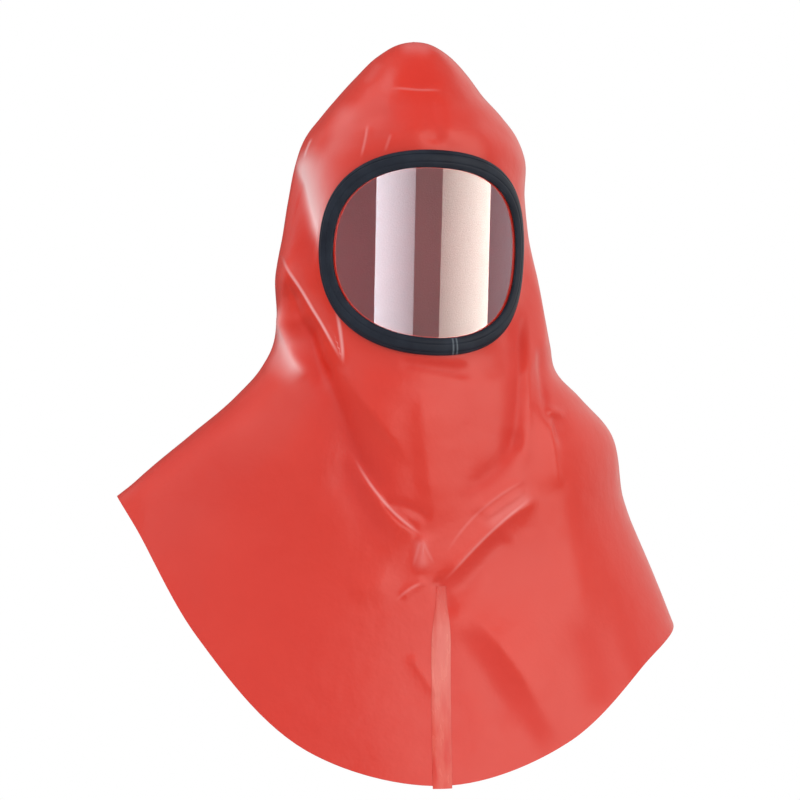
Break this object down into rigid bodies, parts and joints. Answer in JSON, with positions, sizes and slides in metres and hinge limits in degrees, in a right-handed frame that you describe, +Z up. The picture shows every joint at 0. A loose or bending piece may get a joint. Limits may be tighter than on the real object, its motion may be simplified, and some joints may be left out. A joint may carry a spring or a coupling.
{
  "type": "chemical splash hood",
  "caption": "Peaked hood of coated cloth with a curved clear window in a rubber strip and a shoulder cape that hangs longest in front.",
  "frame": {"origin": "inside of the crown, straight above the middle of the wearer's head, where the hood rests on the head", "axes": "+Z up, the window faces -Y, +X is the wearer's left"},
  "size_m": [0.5702, 0.3607, 0.7213],
  "materials": {
    "coated_cloth": "smooth semi-gloss PVC coating on woven cloth",
    "rubber": "extruded rubber, satin",
    "clear_plastic": "clear glossy plastic sheet",
    "seam_tape": "welded PVC tape, glossier than the cloth"
  },
  "bodies": {
    "root": {"hood_shell": "coated_cloth", "window_gasket": "rubber", "visor": "clear_plastic", "front_seam_tape": "seam_tape"}
  },
  "joints": []
}
